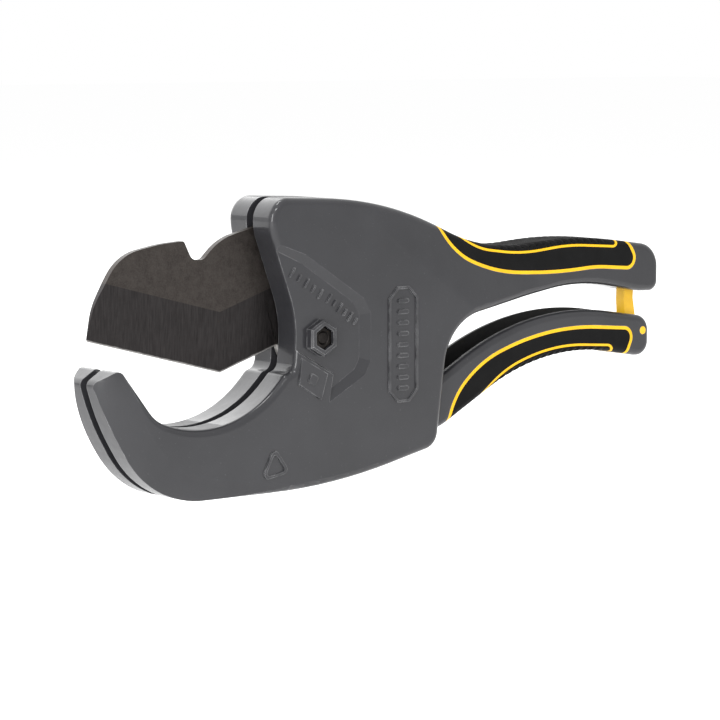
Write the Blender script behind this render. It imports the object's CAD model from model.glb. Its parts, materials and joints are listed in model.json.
import json
import math

import bpy
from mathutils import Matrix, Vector


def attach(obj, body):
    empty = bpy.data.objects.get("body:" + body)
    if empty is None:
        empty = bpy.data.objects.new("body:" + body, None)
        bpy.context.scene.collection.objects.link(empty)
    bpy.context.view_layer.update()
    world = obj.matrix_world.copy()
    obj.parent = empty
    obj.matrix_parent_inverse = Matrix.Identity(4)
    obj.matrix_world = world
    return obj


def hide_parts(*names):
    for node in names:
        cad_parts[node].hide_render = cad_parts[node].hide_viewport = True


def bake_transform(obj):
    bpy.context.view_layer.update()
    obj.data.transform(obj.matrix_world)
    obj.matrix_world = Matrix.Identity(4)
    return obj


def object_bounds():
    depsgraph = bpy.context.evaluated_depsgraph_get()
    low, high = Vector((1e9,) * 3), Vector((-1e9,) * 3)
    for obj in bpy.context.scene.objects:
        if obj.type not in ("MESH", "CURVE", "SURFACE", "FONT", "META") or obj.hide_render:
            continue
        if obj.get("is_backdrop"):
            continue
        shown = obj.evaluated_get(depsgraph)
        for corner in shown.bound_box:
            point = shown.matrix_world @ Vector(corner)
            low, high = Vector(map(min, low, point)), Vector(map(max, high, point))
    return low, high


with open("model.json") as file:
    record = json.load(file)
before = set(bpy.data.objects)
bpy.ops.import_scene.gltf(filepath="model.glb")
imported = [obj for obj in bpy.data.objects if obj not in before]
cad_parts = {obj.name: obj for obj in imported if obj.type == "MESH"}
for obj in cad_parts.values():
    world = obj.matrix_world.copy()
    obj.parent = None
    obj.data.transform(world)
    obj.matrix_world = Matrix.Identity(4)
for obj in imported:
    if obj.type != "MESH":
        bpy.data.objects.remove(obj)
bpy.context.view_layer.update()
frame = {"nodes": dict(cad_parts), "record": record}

MM = 0.001


# ---- node helpers ----------------------------------------------------------------------
BEVEL_SAMPLES = 4
EDGE_NONE, EDGE_FULL = 0.002, 0.05     # how far the normal turns where an edge starts and is full


class Look:
    """A material's node tree, with short calls for the nodes used here."""

    def __init__(self, name, colour, roughness, metallic=0.0, coat=0.0, coat_roughness=0.05,
                 specular=0.5):
        self.material = bpy.data.materials.new(name)
        self.material.use_nodes = True
        self.tree = self.material.node_tree
        self.shader = self.tree.nodes["Principled BSDF"]
        self.set("Base Color", (*colour, 1.0))
        self.set("Roughness", roughness)
        self.set("Metallic", metallic)
        self.set("Coat Weight", coat)
        self.set("Coat Roughness", coat_roughness)
        self.set("Specular IOR Level", specular)
        self.material.diffuse_color = (*colour, 1.0)
        self.place = self.node("ShaderNodeTexCoord").outputs["Object"]
        self.height = None

    def set(self, socket, value):
        """Sets one of the shader's own values."""
        self.shader.inputs[socket].default_value = value

    def node(self, kind, **inputs):
        """Adds a node; i0, i1 and so on name inputs by their place."""
        made = self.tree.nodes.new(kind)
        for key, value in inputs.items():
            self.feed(made, key, value)
        return made

    def feed(self, node, key, value):
        """Links a socket into an input, or sets the input to a plain value."""
        by_place = key[0] == "i" and key[1:].isdigit()
        socket = node.inputs[int(key[1:]) if by_place else key]
        if isinstance(value, bpy.types.NodeSocket):
            self.tree.links.new(value, socket)
        else:
            socket.default_value = value

    def stretched(self, scale):
        """Object coordinates scaled along each axis."""
        mapping = self.node("ShaderNodeMapping", Vector=self.place)
        mapping.inputs["Scale"].default_value = scale
        return mapping.outputs["Vector"]

    def noise(self, size, detail=3.0, rough=0.5, where=None):
        """Noise whose features are about size metres across."""
        made = self.node("ShaderNodeTexNoise", Vector=where or self.place, Scale=1.0 / size,
                         Detail=detail, Roughness=rough)
        return made.outputs["Fac"]

    def cells(self, size):
        """Rounded cells about size metres across."""
        made = self.node("ShaderNodeTexVoronoi", Vector=self.place, Scale=1.0 / size)
        return made.outputs["Distance"]

    def ramp(self, value, low, high, from_low=0.0, from_high=1.0, smooth=False):
        """Maps a value from one range to another, clamped."""
        made = self.node("ShaderNodeMapRange", Value=value)
        made.interpolation_type = "SMOOTHSTEP" if smooth else "LINEAR"
        for key, number in (("From Min", from_low), ("From Max", from_high),
                            ("To Min", low), ("To Max", high)):
            made.inputs[key].default_value = number
        return made.outputs["Result"]

    def maths(self, operation, a, b):
        """One sum or product of two values."""
        made = self.node("ShaderNodeMath", i0=a, i1=b)
        made.operation = operation
        return made.outputs[0]

    def mix(self, factor, a, b):
        """Mixes two colours, each given as (r, g, b) or as a socket."""
        made = self.node("ShaderNodeMix")
        made.data_type = "RGBA"
        self.feed(made, "i0", factor)
        for key, value in (("i6", a), ("i7", b)):
            plain = not isinstance(value, bpy.types.NodeSocket)
            self.feed(made, key, (*value, 1.0) if plain else value)
        return made.outputs[2]

    def bump(self, value, depth, strength):
        """Adds a bump, depth metres deep, over any earlier one."""
        made = self.node("ShaderNodeBump", Height=value, Distance=depth, Strength=strength)
        if self.height is not None:
            self.tree.links.new(self.height, made.inputs["Normal"])
        self.height = made.outputs["Normal"]
        self.tree.links.new(self.height, self.shader.inputs["Normal"])

    def link(self, value, socket):
        """Links a value into one of the shader's inputs."""
        self.tree.links.new(value, self.shader.inputs[socket])

    def edges(self, radius):
        """1 within radius metres of a sharp edge, 0 on flat or gently curved faces."""
        rounded = self.node("ShaderNodeBevel", Radius=radius)
        rounded.samples = BEVEL_SAMPLES
        plain = self.node("ShaderNodeNewGeometry").outputs["Normal"]
        dot = self.node("ShaderNodeVectorMath", i0=rounded.outputs[0], i1=plain)
        dot.operation = "DOT_PRODUCT"
        return self.ramp(dot.outputs["Value"], 1.0, 0.0, 1.0 - EDGE_FULL, 1.0 - EDGE_NONE, smooth=True)


# ---- materials: colours are linear, sizes in metres ------------------------------------
YELLOW = (0.82, 0.48, 0.004)
YELLOW_DARK = (0.76, 0.42, 0.003)
BLACK = (0.0022, 0.0022, 0.0023)
SOFT_BLACK = (0.0040, 0.0040, 0.0041)
SMOOTHER, POLISHED, ROUGHER = 0.06, 0.07, 0.10     # how far roughness strays from its middle
SPECK_STRENGTH = 0.35
WEAR_WIDTH = 0.6 * MM
GRAIN_STRENGTH = 0.35
GROUND_STREAKS = (1.0, 1.0, 0.06)      # grinding marks run up the bevels
MOULD_STREAKS = (0.2, 1.0, 1.0)
BEVEL = 27 * MM
BEVEL_BLUR = 0.2 * MM
# the two straight cutting edges of the blade, in the XZ plane
EDGE_LINES = [((-0.1706, 0.0069), (-0.0970, -0.0120)), ((-0.0970, -0.0120), (-0.0646, -0.00144))]


def gloss_paint():
    """Dark grey gloss paint on a casting: orange peel, uneven gloss, specks, pale worn edges."""
    look = Look("gloss_grey_paint", (0.025, 0.025, 0.027), 0.36, coat=0.45, coat_roughness=0.06,
                specular=0.20)
    broad = look.ramp(look.noise(30 * MM, 2.0), 0.0, 1.0, 0.3, 0.7)
    shade = look.mix(broad, (0.021, 0.021, 0.0235), (0.026, 0.026, 0.029))
    specks = look.ramp(look.noise(1.1 * MM, 1.0), 0.0, 1.0, 0.74, 0.78)
    shade = look.mix(look.maths("MULTIPLY", specks, SPECK_STRENGTH), shade, (0.07, 0.07, 0.074))
    worn = look.ramp(look.noise(6 * MM, 3.0), 0.15, 1.0, 0.38, 0.60)
    worn = look.maths("MULTIPLY", worn, look.edges(WEAR_WIDTH))
    shade = look.mix(worn, shade, (0.16, 0.16, 0.165))
    look.link(shade, "Base Color")
    smudge = look.ramp(look.noise(18 * MM, 4.0, 0.6), 0.28, 0.44, 0.35, 0.65)
    look.link(smudge, "Roughness")
    look.bump(look.noise(4.5 * MM, 2.0, 0.4), 0.30 * MM, 0.30)
    look.bump(look.noise(1.6 * MM, 3.0), 0.08 * MM, 0.30)
    return look.material


def blade_oxide():
    """Brown-black oxide, mottled, with cross-ground bevels and a thin bright cutting edge."""
    look = Look("blade_oxide", (0.050, 0.043, 0.038), 0.42, metallic=0.75)
    parts = look.node("ShaderNodeSeparateXYZ", Vector=look.place)
    x, z = parts.outputs["X"], parts.outputs["Z"]
    nearest = None
    for (x0, z0), (x1, z1) in EDGE_LINES:
        length = math.hypot(x1 - x0, z1 - z0)
        inward = (-(z1 - z0) / length, (x1 - x0) / length)
        along = look.maths("ADD", look.maths("MULTIPLY", x, inward[0]),
                           look.maths("MULTIPLY", z, inward[1]))
        away = look.maths("SUBTRACT", along, x0 * inward[0] + z0 * inward[1])
        nearest = away if nearest is None else look.maths("MINIMUM", nearest, away)
    on_bevel = look.ramp(nearest, 1.0, 0.0, BEVEL - BEVEL_BLUR, BEVEL + BEVEL_BLUR)
    wander = look.ramp(look.noise(4 * MM, 3.0), -0.4 * MM, 0.4 * MM)
    edge = look.ramp(look.maths("ADD", nearest, wander), 1.0, 0.0, 0.3 * MM, 0.9 * MM)
    mottle = look.ramp(look.noise(3.5 * MM, 6.0, 0.7), 0.0, 1.0, 0.35, 0.68)
    grain = look.ramp(look.noise(0.7 * MM, 3.0, 0.6), 0.0, 1.0, 0.3, 0.7)
    flat_colour = look.mix(mottle, (0.024, 0.019, 0.017), (0.045, 0.038, 0.034))
    flat_colour = look.mix(look.maths("MULTIPLY", grain, GRAIN_STRENGTH), flat_colour,
                           (0.066, 0.060, 0.054))
    ground = look.ramp(look.noise(0.6 * MM, 2.0, 0.5, look.stretched(GROUND_STREAKS)),
                       0.0, 1.0, 0.3, 0.7)
    bevel_colour = look.mix(ground, (0.014, 0.012, 0.012), (0.026, 0.023, 0.023))
    colour = look.mix(on_bevel, flat_colour, bevel_colour)
    colour = look.mix(edge, colour, (0.30, 0.29, 0.28))
    look.link(colour, "Base Color")
    look.link(look.ramp(mottle, 0.36, 0.52), "Roughness")
    look.bump(grain, 0.05 * MM, 0.35)
    look.bump(ground, 0.03 * MM, 0.25)
    return look.material


def rubber(name, dark, light, roughness, grain_size, grain_depth, sheen=0.11):
    """Moulded rubber: a soft uneven sheen and a fine moulded grain."""
    look = Look(name, dark, roughness, specular=sheen)
    cloud = look.ramp(look.noise(12 * MM, 4.0, 0.6), 0.0, 1.0, 0.35, 0.7)
    look.link(look.mix(cloud, dark, light), "Base Color")
    look.link(look.ramp(look.noise(8 * MM, 3.0), roughness - SMOOTHER, roughness + ROUGHER, 0.3, 0.7),
              "Roughness")
    look.bump(look.cells(grain_size), grain_depth, 0.5)
    look.bump(look.noise(2.5 * MM, 3.0), 0.06 * MM, 0.35)
    return look.material


def metal(name, dark, light, roughness, streaks=(1.0, 1.0, 1.0)):
    """Plain or oxidised metal with turned or drawn streaks and uneven polish."""
    look = Look(name, light, roughness, metallic=1.0)
    patches = look.ramp(look.noise(4 * MM, 5.0, 0.65), 0.0, 1.0, 0.3, 0.7)
    look.link(look.mix(patches, dark, light), "Base Color")
    look.link(look.ramp(look.noise(3 * MM, 3.0), roughness - POLISHED, roughness + ROUGHER, 0.3, 0.7),
              "Roughness")
    look.bump(look.noise(0.4 * MM, 2.0, where=look.stretched(streaks)), 0.02 * MM, 0.4)
    return look.material


def powder_coat(name, dark, light):
    """Powder coat with fine texture, duller and darker in patches."""
    look = Look(name, light, 0.42)
    patches = look.ramp(look.noise(6 * MM, 4.0), 0.0, 1.0, 0.35, 0.7)
    look.link(look.mix(patches, dark, light), "Base Color")
    look.link(look.ramp(look.noise(4 * MM, 3.0), 0.34, 0.52, 0.3, 0.7), "Roughness")
    look.bump(look.noise(0.9 * MM, 3.0), 0.05 * MM, 0.4)
    return look.material


def fine_plastic(name, dark, light):
    """Fine matt moulded plastic, faintly streaked along the handle."""
    look = Look(name, dark, 0.55)
    streak = look.noise(2 * MM, 3.0, 0.6, look.stretched(MOULD_STREAKS))
    look.link(look.mix(look.ramp(streak, 0.0, 1.0, 0.3, 0.7), dark, light), "Base Color")
    look.link(look.ramp(look.noise(5 * MM, 3.0), 0.48, 0.66, 0.3, 0.7), "Roughness")
    look.bump(look.noise(0.6 * MM, 3.0), 0.05 * MM, 0.5)
    return look.material


paint = gloss_paint()
oxide = blade_oxide()
grip_rubber = rubber("grip_rubber", BLACK, SOFT_BLACK, 0.50, 0.6 * MM, 0.03 * MM)
pad_rubber = rubber("pad_rubber", BLACK, SOFT_BLACK, 0.55, 0.9 * MM, 0.10 * MM)
yellow_rubber = rubber("yellow_rubber", YELLOW_DARK, YELLOW, 0.40, 0.7 * MM, 0.02 * MM, sheen=0.3)
yellow_coat = powder_coat("yellow_coat", YELLOW_DARK, YELLOW)
dark_metal = metal("black_oxide", (0.013, 0.012, 0.0115), (0.030, 0.027, 0.025), 0.45)
bright_metal = metal("ground_steel", (0.38, 0.38, 0.39), (0.60, 0.60, 0.60), 0.30, (1.0, 6.0, 1.0))
spring_metal = metal("spring_steel", (0.20, 0.20, 0.21), (0.38, 0.38, 0.39), 0.35)
brass = metal("turned_brass", (0.50, 0.34, 0.12), (0.72, 0.53, 0.22), 0.34, (1.0, 8.0, 1.0))
liner_plastic = fine_plastic("liner_plastic", (0.012, 0.012, 0.012), (0.020, 0.020, 0.020))

FINISH = {
    "casting": paint, "blade_steel": oxide, "dark_fastener": dark_metal, "steel": bright_metal,
    "spring_steel": spring_metal, "brass": brass, "grip_rubber": grip_rubber, "pad_rubber": pad_rubber,
    "yellow_rubber": yellow_rubber, "yellow_paint": yellow_coat, "liner_plastic": liner_plastic,
}


# ---- ribbed pads and leaf springs --------------------------------------------------------
RIB_PITCH = 4.6 * MM
RIB_GROOVE = 0.40          # share of the pitch taken by the groove
RIB_DEPTH = 0.75 * MM
RIB_SLANT = 0.55           # how far the ribs lean along the handle as they cross it
RIB_FROM, RIB_TO = 62 * MM, 136 * MM
RIB_FADE = 4 * MM
RIB_WALL = 1.6             # half widths of a groove by which its wall has run out
FACING_FROM, FACING_SPAN = 0.15, 0.35  # normals from here on count as the outer face
PAD_CELL = 0.5 * MM


def smooth(value):
    """0 below 0, 1 above 1, eased between."""
    held = min(max(value, 0.0), 1.0)
    return held * held * (3.0 - 2.0 * held)


def copy_of(node, name):
    """A new object with a copy of a CAD node's mesh, in the same place."""
    source = frame["nodes"][node]
    piece = bpy.data.objects.new(name, source.data.copy())
    piece.matrix_world = source.matrix_world.copy()
    bpy.context.collection.objects.link(piece)
    return piece


def ribbed_pad(name, node, body, outwards):
    """The CAD pad, with slanted grooves across the face away from the other handle."""
    pad = copy_of(node, name)
    cells = pad.modifiers.new("cells", "REMESH")
    cells.mode = "VOXEL"
    cells.voxel_size = PAD_CELL
    cells.use_smooth_shade = True
    shaped = pad.evaluated_get(bpy.context.evaluated_depsgraph_get())
    mesh = bpy.data.meshes.new_from_object(shaped)
    pad.modifiers.clear()
    pad.data = mesh
    place = pad.matrix_world
    turn = place.to_3x3()
    inverse = turn.inverted()
    moves = []
    for vertex in mesh.vertices:
        at = place @ vertex.co
        normal = (turn @ vertex.normal).normalized()
        facing = smooth((normal.z * outwards - FACING_FROM) / FACING_SPAN)
        along = smooth((at.x - RIB_FROM) / RIB_FADE) * smooth((RIB_TO - at.x) / RIB_FADE)
        turns = (at.x + RIB_SLANT * at.y) / RIB_PITCH
        away = abs(turns - round(turns)) / (RIB_GROOVE / 2)
        depth = RIB_DEPTH * facing * along * smooth(RIB_WALL - away)
        moves.append(inverse @ (-depth * normal))
    for vertex, move in zip(mesh.vertices, moves):
        vertex.co += move
    mesh.materials.clear()
    mesh.materials.append(FINISH["pad_rubber"])
    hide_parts(node)
    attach(pad, body)


def bending_leaf(name, node):
    """A pawl's leaf spring: held at one end, its free end stays on the pawl as that swings."""
    leaf = copy_of(node, name)
    leaf.data.materials.clear()
    leaf.data.materials.append(FINISH["spring_steel"])
    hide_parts(node)
    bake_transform(leaf)


def finish_nodes():
    """Gives every carried-over node the material of its slot."""
    for part in frame["record"]["subparts"]:
        piece = frame["nodes"][part["node"]]
        for material_slot in piece.material_slots:
            material_slot.link = "OBJECT"
            material_slot.material = FINISH[part["material_slot"]]


# ---- floor, light and camera ------------------------------------------------------------
FLOOR_DROP = 60 * MM       # room for the moving handle when it hangs open
FLOOR_REACH = 12.0
CAMERA_DISTANCE = 1.5


def studio():
    """Pale floor under the tool, a bright surround and large soft lights."""
    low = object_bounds()[0].z - FLOOR_DROP
    mesh = bpy.data.meshes.new("studio_floor")
    far = FLOOR_REACH
    corners = [(-far, -far, low), (far, -far, low), (far, far, low), (-far, far, low)]
    mesh.from_pydata(corners, [], [(0, 1, 2, 3)])
    floor = bpy.data.objects.new("studio_floor", mesh)
    bpy.context.collection.objects.link(floor)
    floor_look = Look("studio_floor", (0.99, 0.99, 0.99), 0.9, specular=0.0)
    mesh.materials.append(floor_look.material)
    floor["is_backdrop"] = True

    world = bpy.data.worlds.new("studio")
    bpy.context.scene.world = world
    world.use_nodes = True
    background = world.node_tree.nodes["Background"]
    background.inputs["Color"].default_value = (1.0, 1.0, 1.0, 1.0)
    background.inputs["Strength"].default_value = 1.0

    soft_box("key_light", (-0.9, -1.3, 1.5), (0.35, 0.35), 11.0)
    soft_box("left_light", (-1.6, -0.85, 0.45), (0.5, 1.0), 20.0)
    soft_box("back_light", (-0.3, 1.9, 1.2), (3.4, 1.8), 42.0)
    soft_box("top_light", (-0.2, 0.3, 1.7), (0.9, 0.3), 12.0)


def soft_box(name, place, size, power):
    """A rectangular area light aimed at the tool."""
    data = bpy.data.lights.new(name, "AREA")
    data.shape = "RECTANGLE"
    data.size, data.size_y = size
    data.energy = power
    lamp = bpy.data.objects.new(name, data)
    lamp.location = place
    lamp.rotation_euler = (-Vector(place)).to_track_quat("-Z", "Y").to_euler()
    bpy.context.collection.objects.link(lamp)


def camera():
    """Long lens, 39 degrees round towards the hooked jaw and 6 degrees up."""
    data = bpy.data.cameras.new("camera")
    data.lens = 157.5
    data.sensor_width = 36.0
    data.dof.use_dof = False
    seen_from = Vector((-0.6259, -0.7729, 0.1045)).normalized()
    target = Vector((-0.0132, 0.0009, -0.01175))
    eye = bpy.data.objects.new("camera", data)
    eye.location = target + seen_from * CAMERA_DISTANCE
    eye.rotation_euler = (-seen_from).to_track_quat("-Z", "Y").to_euler()
    bpy.context.collection.objects.link(eye)
    bpy.context.scene.camera = eye


# ---- the scene --------------------------------------------------------------------------
bpy.context.scene.view_settings.view_transform = "Standard"
finish_nodes()
ribbed_pad("upper_pad_ribs", "upper_grip_pad", "body", 1.0)
ribbed_pad("lower_pad_ribs", "lower_grip_pad", "handle", -1.0)
bending_leaf("drive_leaf", "drive_pawl_spring")
bending_leaf("hold_leaf", "hold_pawl_spring")
studio()
camera()
